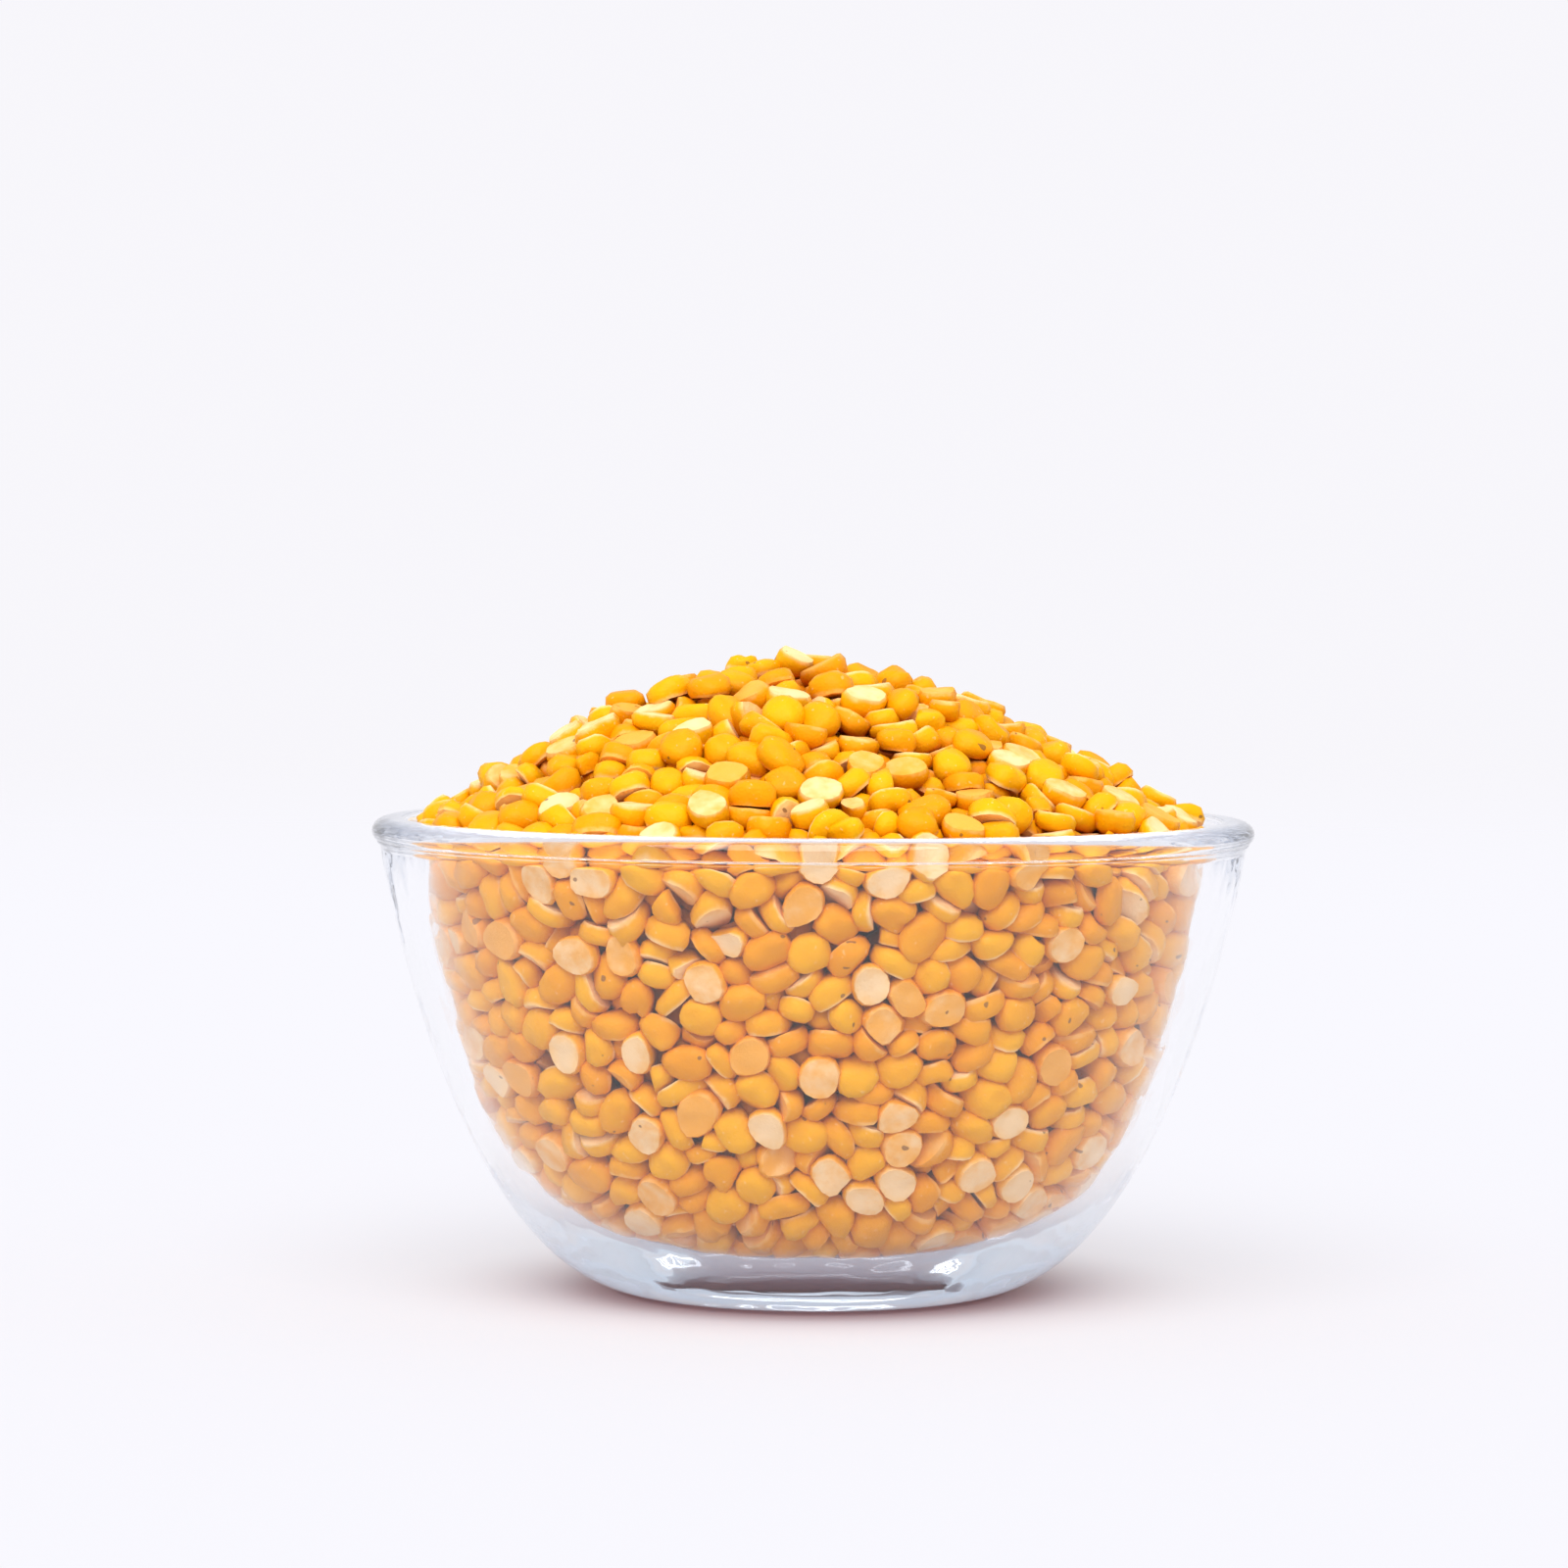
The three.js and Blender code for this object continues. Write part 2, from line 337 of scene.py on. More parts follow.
def glassMaterial(look):
    material, bench = newMaterial("pressed_glass")
    place = bench.objectPlace()
    ripple = bench.noise(place, look["rippleScale"], 1.0)
    values = {"Strength": look["ripple"], "Distance": look["rippleRise"], "Height": ripple}
    bump = bench.add("ShaderNodeBump", None, values)
    height = bench.add("ShaderNodeSeparateXYZ", None, {0: place}, out="Z")
    low = bench.ramp(height, *look["thickFade"])
    tint = bench.mixColour(bench.ramp(height, *look["tintFade"]), look["tint"], look["baseTint"])
    values = {
        "Base Color": tint,
        "Roughness": 0.0,
        "IOR": look["bend"],
        "Transmission Weight": 1.0,
        "Normal": bump,
    }
    glass = bench.add("ShaderNodeBsdfPrincipled", None, values)
    # Shadow rays and diffuse rays pass straight through, in these shades
    thin = bench.add("ShaderNodeBsdfTransparent", None, {"Color": (*look["thinShade"], 1.0)})
    thick = bench.add("ShaderNodeBsdfTransparent", None, {"Color": (*look["thickShade"], 1.0)})
    clear = bench.add("ShaderNodeMixShader", None, {0: low, 1: thin, 2: thick})
    slant = bench.add("ShaderNodeLayerWeight", out="Facing")
    under = bench.ramp(slant, *look["slantFade"]) * bench.ramp(height, *look["undersideFade"])
    dim = bench.add("ShaderNodeBsdfTransparent", None, {"Color": (*look["slantShade"], 1.0)})
    clear = bench.add("ShaderNodeMixShader", None, {0: under, 1: clear, 2: dim})
    shadow = bench.add("ShaderNodeLightPath", out="Is Shadow Ray")
    diffuse = bench.add("ShaderNodeLightPath", out="Is Diffuse Ray")
    both = shadow.sum("MAXIMUM", shadow, diffuse)
    surface = bench.add("ShaderNodeMixShader", None, {0: both, 1: glass, 2: clear})
    values = {"Color": (*look["haze"], 1.0), "Density": look["hazeDensity"]}
    haze = bench.add("ShaderNodeVolumeAbsorption", None, values)
    bench.add("ShaderNodeOutputMaterial", None, {"Surface": surface, "Volume": haze})
    return material


def makeBowl():
    outline = bowlOutline()
    points = [((r - bowl["sweepRadius"]) * mm, -z * mm, 0) for r, z in outline[::-1]]
    edges = [(i, i + 1) for i in range(len(outline) - 1)]
    piece = meshPiece("glass_bowl", points, edges)
    settings = {
        "Segments": bowl["segments"],
        "Sweep radius": bowl["sweepRadius"] * mm,
        "Join within": bowl["joinWithin"] * mm,
        "Ripple size": bowl["rippleSize"] * mm,
        "Ripple depth": bowl["rippleDepth"] * mm,
        "Material": glassMaterial(glassLook),
    }
    return bakeTree(piece, latheTree(), settings)


glassBowl = makeBowl()
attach(glassBowl, "root")
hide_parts("bowl")
print("bowl made:", len(glassBowl.data.polygons), "faces")

# The open mound, the shell of loose halves under it and along the glass, and the core inside that
heap = {
    "crownHeight": 25.4,    # over the rim
    "crownShift": 3.5,      # the summit lies this far towards -X
    "moundReach": 58.5,
    "moatFrom": 56.5,       # from here to the glass the mound drops more steeply
    "moatDrop": 0.15,
    "moundPower": 1.45,
    "shell": 10.5,          # depth of loose halves over the core
    "coreSink": 0.8,        # the core starts this far under the loose halves
    "coreMiddle": (-1.0, 0, 48),
    "coreReach": 80.0,      # farther from its middle than any of its surface
    "coreHalvings": 16,
    "coreTurns": 96,
    "coreRows": 60,
}


def moundProfile(reach):
    fall = (np.abs(reach) / heap["moundReach"]) ** heap["moundPower"]
    moat = heap["moatDrop"] * np.maximum(0, np.abs(reach) - heap["moatFrom"]) ** 2
    return bowl["height"] + heap["crownHeight"] * (1 - fall) - moat


# Distance inside an outline of (r, z) points, on a grid of half-millimetre steps
class DepthGrid:
    step = 0.5
    reach = 74
    bottom, top = -2, 112

    def __init__(self, outline):
        across = np.arange(0, self.reach, self.step)
        up = np.arange(self.bottom, self.top, self.step)
        self.low = np.array([across[0], up[0]])
        spot = np.stack(np.meshgrid(across, up, indexing="ij"), -1)
        start = outline[:-1]
        along = outline[1:] - start
        nearest = np.full(spot.shape[:2], np.inf)
        depth = np.zeros(spot.shape[:2])
        for corner, way in zip(start, along):
            share = np.clip(((spot - corner) @ way) / (way @ way), 0, 1)
            gap = spot - corner - share[..., None] * way
            distance = np.hypot(gap[..., 0], gap[..., 1])
            side = np.sign(way[0] * gap[..., 1] - way[1] * gap[..., 0])
            closer = distance < nearest
            nearest[closer] = distance[closer]
            depth[closer] = (distance * side)[closer]
        slopeR, slopeZ = np.gradient(depth, self.step)
        self.values = np.stack([depth, slopeR, slopeZ], -1)

    # Depth and its slopes along r and z at scattered places; one off the grid is read at its edge
    def at(self, r, z):
        place = (np.stack([r, z], -1) - self.low) / self.step
        place = np.clip(place, 0, np.array(self.values.shape[:2]) - 1.001)
        cell = place.astype(int)
        u, v = (place - cell).T[..., None]
        i, j = cell.T
        grid = self.values
        low = grid[i, j] * (1 - u) + grid[i + 1, j] * u
        high = grid[i, j + 1] * (1 - u) + grid[i + 1, j + 1] * u
        return (low * (1 - v) + high * v).T


# Both outlines run on past the axis, and up or out past the heap
pastAxis, pastTop, pastRim = -20, 120, 80
floorLine = [(pastAxis, bowl["floorThickness"])]
wallGrid = DepthGrid(np.concatenate([floorLine, innerWall(60), [(mouthRadius, pastTop)]]))
moundLine = np.linspace(pastRim, pastAxis, pastRim - pastAxis + 1)
moundGrid = DepthGrid(np.stack([moundLine, moundProfile(moundLine)], 1))


# Depth inside the glass's inner surface and the direction out to it, at each place
def underGlass(place):
    r = np.hypot(place[:, 0], place[:, 1])
    depth, slopeR, slopeZ = wallGrid.at(r, place[:, 2])
    flat = place[:, :2] / np.maximum(r, 1e-6)[:, None]
    return depth, -np.column_stack([flat * slopeR[:, None], slopeZ])


# Depth under the mound's open surface and the direction out to it, at each place
def underMound(place):
    r = np.hypot(place[:, 0], place[:, 1])
    lean = heap["crownShift"] * np.maximum(0, 1 - r / mouthRadius)
    shifted = place[:, :2] + np.column_stack([lean, np.zeros(len(r))])
    reach = np.hypot(shifted[:, 0], shifted[:, 1])
    depth, slopeR, slopeZ = moundGrid.at(reach, place[:, 2])
    flat = shifted / np.maximum(reach, 1e-6)[:, None]
    return depth, -np.column_stack([flat * slopeR[:, None], slopeZ])


# The core, dark with painted shade: each ray from its middle ends a little below the shell of loose halves
def makeCore():
    middle = np.array(heap["coreMiddle"])
    turns, rows = heap["coreTurns"], heap["coreRows"]
    ways = []
    for row in range(1, rows):
        tilt = math.pi * row / rows
        for turn in range(turns):
            spin = 2 * math.pi * turn / turns
            ways.append((math.sin(tilt) * math.cos(spin), math.sin(tilt) * math.sin(spin), math.cos(tilt)))
    ways = np.array([(0, 0, 1), *ways, (0, 0, -1)])
    near, far = np.zeros(len(ways)), np.full(len(ways), heap["coreReach"])
    sink = heap["shell"] + heap["coreSink"]
    for _ in range(heap["coreHalvings"]):
        reach = (near + far) / 2
        place = middle + ways * reach[:, None]
        inside = np.minimum(underGlass(place)[0], underMound(place)[0]) > sink
        near, far = np.where(inside, reach, near), np.where(inside, far, reach)
    last = len(ways) - 1
    ring = [[1 + row * turns + turn for turn in range(turns)] for row in range(rows - 1)]
    faces = []
    for turn in range(turns):
        after = (turn + 1) % turns
        faces.append((0, ring[0][turn], ring[0][after]))
        faces.append((last, ring[-1][after], ring[-1][turn]))
        faces += [(a[turn], b[turn], b[after], a[after]) for a, b in zip(ring, ring[1:])]
    piece = meshPiece("heap_core", (middle + ways * near[:, None]) * mm, (), faces)
    piece.data.shade_smooth()
    return piece


# Loose halves
halves = {
    "seed": 7,
    "fill": 0.64,           # about the share of the shell's room that the halves take
    "scatterBox": ((-63, -63, 6), (63, 63, 97.0)),
    "scatterTries": 60000,
    "scatterMargin": 1.2,   # none starts nearer to the shell's surface than this
    "length": (5.8, 7.4),
    "breadth": 0.87,        # of the length
    "breadthSpread": (0.94, 1.06),
    "thickness": (2.8, 3.6),
    "dentSize": 4.4,
    "facingGlass": 0.5,     # share of those at the glass that lie against it; the rest lie level
    "facingHold": 1.3,      # how firmly they keep to that
    "levelHold": 2.7,
    "glassClearance": 0.05,
    "unevenTop": 1.2,       # how far one may stand over or under the mound's surface
    "balance": 0.42,        # height of the middle of a half's weight, of its thickness
}
# How they are pushed into place. Seven balls stand for a half: six round its rim, one in the middle
packing = {
    "rounds": 180,
    "startSize": 0.72,      # the halves start at this share of their size
    "grownBy": 0.5,         # and have their full size after this share of the rounds
    "rimBalls": 6,
    "ballSize": 0.46,       # radius of the balls round the rim, of the half's thickness
    "ballRise": 0.8,        # their height over the flat face, of that radius
    "pairReach": 8.6,       # two halves whose middles are farther apart don't meet
    "pairSlack": 1.0,       # balls with a smaller gap are watched
    "pairRounds": 8,        # for so many rounds
    "spread": 3.4,          # roughly the square of a half's radius of gyration
    "coreHold": 0.5,        # share of a ball's radius that is kept above the shell's inside
    "ease": 1.2,            # how much of the pushes a round carries out
    "crowding": 0.3,        # less of it for a half that touches many
    "pull": 0.03,           # each round, towards the glass or down into the heap
    "pullUntil": 0.85,      # of the rounds
}
kinds = {
    "round_halves": {"share": 0.29, "size": 1.0, "long": 0.96, "unevenness": 1.1},
    "oval_halves": {"share": 0.32, "size": 1.02, "long": 1.10, "unevenness": 1.3},
    "beaked_halves": {"share": 0.16, "size": 1.0, "long": 1.05, "unevenness": 1.3},
    "lobed_halves": {"share": 0.15, "size": 0.97, "long": 1.0, "unevenness": 2.0},
    "broken_bits": {"share": 0.08, "size": 0.88, "long": 1.0, "unevenness": 1.1},
}
random = np.random.default_rng(halves["seed"])


# Random places in the shell of loose halves, each with the way that its dome keeps to, and the
# shell's room
def scatterPlaces():
    box, margin = np.array(halves["scatterBox"]), halves["scatterMargin"]
    tries = random.uniform(box[0], box[1], (halves["scatterTries"], 3))
    glassDepth, glassWay = underGlass(tries)
    moundDepth, moundWay = underMound(tries)
    depth = np.minimum(glassDepth, moundDepth)
    inside = (depth > margin) & (depth < heap["shell"] - margin)
    shellRoom = np.mean((depth > 0) & (depth < heap["shell"])) * np.prod(box[1] - box[0])
    facing = (glassDepth < moundDepth) & (random.random(len(depth)) < halves["facingGlass"])
    way = np.where(facing[:, None], glassWay, np.array([[0, 0, 1.0]]))
    hold = np.where(facing, halves["facingHold"], halves["levelHold"])
    return tries[inside], (way * hold[:, None])[inside], shellRoom


# Turns that hold each half's dome along its own direction or against it, more or less
def randomTurns(count, way):
    axis = random.normal(size=(count, 3))
    axis /= np.linalg.norm(axis, axis=1)[:, None]
    side = np.where(random.random(count) < 0.5, 1.0, -1.0)
    axis = axis + way * side[:, None]
    axis /= np.linalg.norm(axis, axis=1)[:, None]
    other = random.normal(size=(count, 3))
    first = np.cross(other, axis)
    first /= np.linalg.norm(first, axis=1)[:, None]
    return np.stack([first, np.cross(axis, first), axis], -1)


# Middles, from the half's own middle, and radii of the balls of each half
def ballsOf(size):
    rim = packing["rimBalls"]
    ball = packing["ballSize"] * size[:, 2]
    turn = np.arange(rim) * math.pi * 2 / rim
    balls = np.zeros((len(size), rim + 1, 3))
    balls[:, :rim, 0] = (size[:, 0] - ball)[:, None] * np.cos(turn)
    balls[:, :rim, 1] = (size[:, 1] - ball)[:, None] * np.sin(turn)
    balls[:, :rim, 2] = (packing["ballRise"] * ball - halves["balance"] * size[:, 2])[:, None]
    balls[:, rim, 2] = (0.5 - halves["balance"]) * size[:, 2]
    radius = np.column_stack([np.repeat(ball[:, None], rim, 1), size[:, 2] / 2])
    return balls, radius


# Pairs of balls on two halves, with less than the slack between them
def nearPairs(place, centre, radius):
    each = packing["rimBalls"] + 1
    tree = KDTree(len(place))
    for index, spot in enumerate(place):
        tree.insert(spot, index)
    tree.balance()
    first, second = [], []
    for index, spot in enumerate(place):
        for _, other, _ in tree.find_range(spot, packing["pairReach"]):
            if other > index:
                first.append(index)
                second.append(other)
    first, second = np.array(first), np.array(second)
    a = (first[:, None] * each + np.repeat(np.arange(each), each)).ravel()
    b = (second[:, None] * each + np.tile(np.arange(each), each)).ravel()
    gap = np.linalg.norm(centre[a] - centre[b], axis=1) - radius[a] - radius[b]
    keep = gap < packing["pairSlack"]
    return a[keep], b[keep]


# The sum of the values that belong to each half
def addUp(owner, values, count):
    return np.column_stack([np.bincount(owner, values[:, axis], count) for axis in range(3)])


# Turns each half about its spin, by the spin's length in radians
def turnBy(spin, turn):
    angle = np.linalg.norm(spin, axis=1)
    axis = spin / np.maximum(angle, 1e-9)[:, None]
    sine, cosine = np.sin(angle)[:, None, None], np.cos(angle)[:, None, None]
    columns = turn.transpose(0, 2, 1)
    crossed = np.cross(axis[:, None, :], columns)
    along = np.einsum("ni,nji->nj", axis, columns)[..., None] * axis[:, None, :]
    return (columns * cosine + crossed * sine + along * (1 - cosine)).transpose(0, 2, 1)


# Pushes the halves' balls off each other and into the shell, for a fixed number of rounds. The
# balls are only near a half's own shape, so the halves still cut into their neighbours afterwards.
def settle(place, turn, size):
    count, each = len(place), packing["rimBalls"] + 1
    local, ball = ballsOf(size)
    spread, rounds, small = packing["spread"], packing["rounds"], packing["startSize"]
    lift = random.uniform(-1, 1, count) * halves["unevenTop"]
    owner = np.repeat(np.arange(count), each)
    for step in range(rounds):
        grown = min(1.0, small + (1 - small) * step / (packing["grownBy"] * rounds))
        arm = np.einsum("nij,nkj->nki", turn, local * grown).reshape(-1, 3)
        radius = (ball * grown).ravel()
        centre = place[owner] + arm
        if step % packing["pairRounds"] == 0:
            a, b = nearPairs(place, centre, radius)
        way = centre[b] - centre[a]
        distance = np.sqrt(np.einsum("ij,ij->i", way, way))
        overlap = radius[a] + radius[b] - distance
        hit = overlap > 0
        one, two, overlap = a[hit], b[hit], overlap[hit]
        way = way[hit] / np.maximum(distance[hit], 1e-6)[:, None]
        armOne, armTwo = np.cross(arm[one], way), np.cross(arm[two], way)
        weight = 2 + (np.sum(armOne ** 2, 1) + np.sum(armTwo ** 2, 1)) / spread
        push = (overlap / weight)[:, None]
        move = addUp(owner[two], push * way, count) - addUp(owner[one], push * way, count)
        spin = addUp(owner[two], push * armTwo / spread, count)
        spin -= addUp(owner[one], push * armOne / spread, count)
        hits = np.bincount(owner[one], minlength=count) + np.bincount(owner[two], minlength=count)
        glassDepth, glassWay = underGlass(centre)
        moundDepth, moundWay = underMound(centre)
        outer = np.where((glassDepth < moundDepth)[:, None], glassWay, moundWay)
        walls = [
            (radius + halves["glassClearance"] - glassDepth, -glassWay),
            (radius - lift[owner] - moundDepth, -moundWay),
            (np.minimum(glassDepth, moundDepth) + radius * packing["coreHold"] - heap["shell"], outer),
        ]
        for overlap, way in walls:
            hit = np.nonzero(overlap > 0)[0]
            armWall = np.cross(arm[hit], way[hit])
            push = (overlap[hit] / (1 + np.sum(armWall ** 2, 1) / spread))[:, None]
            move += addUp(owner[hit], push * way[hit], count)
            spin += addUp(owner[hit], push * armWall / spread, count)
            hits += np.bincount(owner[hit], minlength=count)
        ease = (packing["ease"] / np.maximum(1, packing["crowding"] * hits))[:, None]
        pull = packing["pull"] if step < packing["pullUntil"] * rounds else 0.0
        middle = np.arange(each - 1, len(owner), each)
        towards = np.where((glassDepth < moundDepth)[middle, None], glassWay[middle], -moundWay[middle])
        place = place + move * ease + towards * pull
        turn = turnBy(spin * ease, turn)
    return place, turn


# One half as a closed shell of unit size, its flat face below. A section runs from the middle of the
# flat face round the rim and over the dome: share of the outline, height, and how pale the face is there.
halfSection = [
    (0.0, 0.0, 1.0),
    (0.88, 0.0, 0.7),
    (1.0, 0.25, 0.0),
    (0.95, 0.68, 0.0),
    (0.66, 0.93, 0.0),
    (0.0, 1.0, 0.0),
]
halfSides = 14
formDetail = {
    "beakWidth": 0.45,      # radians
    "notchWidth": 0.5,
    "grooveWidth": 0.28,    # share of the outline
    "grooveDepth": 0.4,     # in the middle, and what it gains towards the notched end
    "grooveGain": 0.6,
    "squareLoss": 0.4,      # share of the fuller corners that comes off all round
    "breakLean": 0.35,      # how far a break leans in from the rim to the middle
}


# egg: one end broader; square: fuller corners; beak: a point at one end; notch: a hollow at the
# other; groove: a valley over the dome; wedge: thicker at one end; cuts: (direction in degrees,
# distance) of straight breaks
def halfForm(name, collection, egg=0.0, square=0.0, beak=0.0, notch=0.0, groove=0.0, wedge=0.0, cuts=()):
    detail = formDetail
    points, paleness = [], []
    for share, height, pale in halfSection:
        for side in range(halfSides if share else 1):
            turn = 2 * math.pi * side / halfSides
            away = min(turn, 2 * math.pi - turn)
            edge = 1 + egg * math.cos(turn) + beak * math.exp(-((away / detail["beakWidth"]) ** 2))
            edge += square * (0.5 - 0.5 * math.cos(4 * turn)) - detail["squareLoss"] * square
            edge -= notch * math.exp(-(((math.pi - away) / detail["notchWidth"]) ** 2))
            x, y = share * edge * math.cos(turn), share * edge * math.sin(turn)
            for direction, distance in cuts:
                lean = math.cos(turn - math.radians(direction))
                limit = distance * (1 - detail["breakLean"] * (1 - share))
                if share * edge * lean > limit:
                    x, y = (limit / lean) * math.cos(turn), (limit / lean) * math.sin(turn)
            valley = groove * math.exp(-((y / detail["grooveWidth"]) ** 2))
            valley *= detail["grooveDepth"] - detail["grooveGain"] * x
            low = height * (1 + wedge * x) - valley * (height > 0.5)
            points.append((x, y, low - halves["balance"]))
            paleness.append(pale)
    rings, start = [], 0
    for share, _, _ in halfSection:
        count = halfSides if share else 1
        rings.append(list(range(start, start + count)))
        start += count
    faces = []
    for side in range(halfSides):
        after = (side + 1) % halfSides
        faces.append((rings[0][0], rings[1][after], rings[1][side]))
        faces.append((rings[-1][0], rings[-2][side], rings[-2][after]))
        for low, high in zip(rings[1:-1], rings[2:-1]):
            faces.append((low[side], low[after], high[after], high[side]))
    form = meshPiece(name, points, (), faces, collection)
    form.data.attributes.new("pale", "FLOAT", "POINT").data.foreach_set("value", paleness)
    flatRim = set(rings[1])
    crisp = [set(edge.vertices) <= flatRim for edge in form.data.edges]
    form.data.attributes.new("sharp_edge", "BOOLEAN", "EDGE").data.foreach_set("value", crisp)
    return form


formShapes = {
    "round_halves": [
        {"egg": 0.03, "square": 0.05},
        {"egg": -0.04, "groove": 0.06, "wedge": 0.16},
        {"beak": 0.05, "square": 0.1},
        {"notch": 0.08, "wedge": -0.1},
    ],
    "oval_halves": [
        {"egg": 0.07, "wedge": -0.26},
        {"square": 0.13, "groove": 0.08},
        {"egg": -0.08, "beak": 0.04, "square": 0.06},
        {"egg": 0.05, "notch": 0.1, "wedge": 0.16},
    ],
    "beaked_halves": [
        {"beak": 0.15},
        {"beak": 0.22, "egg": 0.05, "wedge": 0.2},
        {"beak": 0.12, "notch": 0.06, "square": 0.05},
    ],
    "lobed_halves": [
        {"notch": 0.2, "groove": 0.3},
        {"notch": 0.1, "beak": 0.12, "groove": 0.22, "square": 0.06},
    ],
    "broken_bits": [
        {"cuts": ((20, 0.3),)},
        {"cuts": ((100, 0.45), (215, 0.55))},
        {"cuts": ((160, 0.15),), "square": 0.1},
    ],
}


# Puts a form on every point by its own turn, size and choice, then roughens each one a little
def halvesTree():
    inputs = {
        "Forms": "NodeSocketCollection",
        "Unevenness": "NodeSocketFloat",
        "Dent size": "NodeSocketFloat",
        "Material": "NodeSocketMaterial",
    }
    tree, bench, wires = newGeometryTree("loose_halves", inputs)
    forms = bench.add("GeometryNodeCollectionInfo", None, {0: wires["Forms"], 1: True, 2: True})
    spin = bench.add("GeometryNodeInputNamedAttribute", {"data_type": "FLOAT_VECTOR"}, {0: "turn"})
    size = bench.add("GeometryNodeInputNamedAttribute", {"data_type": "FLOAT_VECTOR"}, {0: "size"})
    choice = bench.add("GeometryNodeInputNamedAttribute", {"data_type": "INT"}, {0: "form"})
    rotation = bench.add("FunctionNodeEulerToRotation", None, {0: spin})
    values = {0: wires["Geometry"], 2: forms, 3: True, 4: choice, 5: rotation, 6: size}
    placed = bench.add("GeometryNodeInstanceOnPoints", None, values)
    whole = bench.add("GeometryNodeRealizeInstances", None, {0: placed})
    place = bench.add("GeometryNodeInputPosition")
    wave = bench.noise(place, wires["Dent size"] ** -1, 0.5)
    colour = Wire(bench, wave.socket.node.outputs["Color"])
    centred = bench.add("ShaderNodeVectorMath", {"operation": "SUBTRACT"}, {0: colour, 1: (0.5, 0.5, 0.5)})
    values = {0: centred, "Scale": wires["Unevenness"]}
    push = bench.add("ShaderNodeVectorMath", {"operation": "SCALE"}, values)
    moved = bench.add("GeometryNodeSetPosition", None, {0: whole, "Offset": push})
    smooth = bench.add("GeometryNodeSetShadeSmooth", None, {0: moved})
    closeTree(bench, bench.add("GeometryNodeSetMaterial", None, {0: smooth, 2: wires["Material"]}))
    return tree


halfLook = {
    "domeDeep": (0.85, 0.335, 0.001),
    "domeLight": (0.92, 0.45, 0.002),
    "faceDeep": (0.91, 0.44, 0.06),
    "faceLight": (0.95, 0.70, 0.34),
    "between": (0.56, 0.13, 0.002),     # painted shade in the gaps, deeper in the heap
    "wornAndLitEdge": (0.98, 0.70, 0.30),         # wear and painted highlight, along the edge of the flat face
    "dot": (0.98, 0.78, 0.42),
    "speck": (0.16, 0.07, 0.03),
    "mottle": (420.0, 3.0),             # patterns: scale and detail
    "grit": (2600.0, 2.0),
    "dots": (1300.0, 1.0),
    "specks": (620.0, 0.0),
    "lumps": (300.0, 0.0),
    "domeMottle": 0.8,                  # how strongly the mottle moves a tone or an edge
    "faceMottle": 0.9,
    "edgeMottle": 0.35,
    "faceFade": (0.1, 0.85),            # from where to where a pattern comes in
    "dotFade": (0.69, 0.76),
    "speckFade": (0.83, 0.85),
    "wornAndLitFade": (0.1, 0.5),
    "wornAndLitPatches": (0.4, 0.6),
    "edgeFade": (0.25, 0.95),
    "paintedShadeFade": (0.25, 1.4),            # painted shade comes in over this depth, in thicknesses of the thickest half
    "dotShare": 0.25,                   # how much of its colour each brings
    "wornAndLitShare": 0.35,
    "speckShare": 0.7,
    "paintedShadeShare": 0.85,
    "gritRise": 0.5,
    "mottleRise": 0.6,
    "lumpRise": 4.0,
    "roughness": 0.38,
    "faceRoughness": 0.6,
    "gloss": 0.1,
    "bump": 0.36,
    "bumpRise": 0.0005,
}


def halfMaterial(look):
    material, bench = newMaterial("dry_chickpea")
    place = bench.objectPlace()
    tone = bench.attribute("tone")
    pale = bench.attribute("pale")
    mottle = bench.noise(place, *look["mottle"])
    grit = bench.noise(place, *look["grit"])
    domeTone = bench.ramp(tone + look["domeMottle"] * (mottle - 0.5), 0.0, 1.0)
    dome = bench.mixColour(domeTone, look["domeDeep"], look["domeLight"])
    faceTone = bench.ramp(tone + look["faceMottle"] * (mottle - 0.5), *look["faceFade"])
    face = bench.mixColour(faceTone, look["faceDeep"], look["faceLight"])
    dots = bench.ramp(bench.noise(place, *look["dots"]), *look["dotFade"])
    dome = bench.mixColour(look["dotShare"] * dots, dome, look["dot"])
    # wear and painted highlight: a patchy pale band along the flat face's edge, where edges catch the light
    wearAndHighlight = bench.ramp(pale, *look["wornAndLitFade"]) * bench.ramp(mottle, *look["wornAndLitPatches"])
    dome = bench.mixColour(look["wornAndLitShare"] * wearAndHighlight, dome, look["wornAndLitEdge"])
    edge = bench.ramp(pale + look["edgeMottle"] * (mottle - 0.5), *look["edgeFade"])
    colour = bench.mixColour(edge, dome, face)
    specks = bench.ramp(bench.noise(place, *look["specks"]), *look["speckFade"])
    colour = bench.mixColour(look["speckShare"] * specks, colour, look["speck"])
    # painted shade: the colour goes towards the gap colour the farther a point lies under the heap's surface
    paintedShade = bench.ramp(bench.attribute("depth"), *look["paintedShadeFade"])
    colour = bench.mixColour(look["paintedShadeShare"] * paintedShade, colour, look["between"])
    lumps = bench.noise(place, *look["lumps"])
    relief = look["gritRise"] * grit + look["mottleRise"] * mottle + look["lumpRise"] * lumps
    values = {"Strength": look["bump"], "Distance": look["bumpRise"], "Height": relief}
    bump = bench.add("ShaderNodeBump", None, values)
    rough = look["roughness"] + (look["faceRoughness"] - look["roughness"]) * edge
    values = {"Base Color": colour, "Roughness": rough, "Specular IOR Level": look["gloss"], "Normal": bump}
    shell = bench.add("ShaderNodeBsdfPrincipled", None, values)
    bench.add("ShaderNodeOutputMaterial", None, {"Surface": shell})
    return material


# Painted shade: the core is the halves' orange darkened, as if in the shade far inside the heap
coreShadeLook = {
    "dark": (0.30, 0.11, 0.02),
    "light": (0.50, 0.20, 0.03),
    "mottle": (180.0, 3.0),             # scale and detail
    "mottleFade": (0.35, 0.65),
    "roughness": 0.8,
}


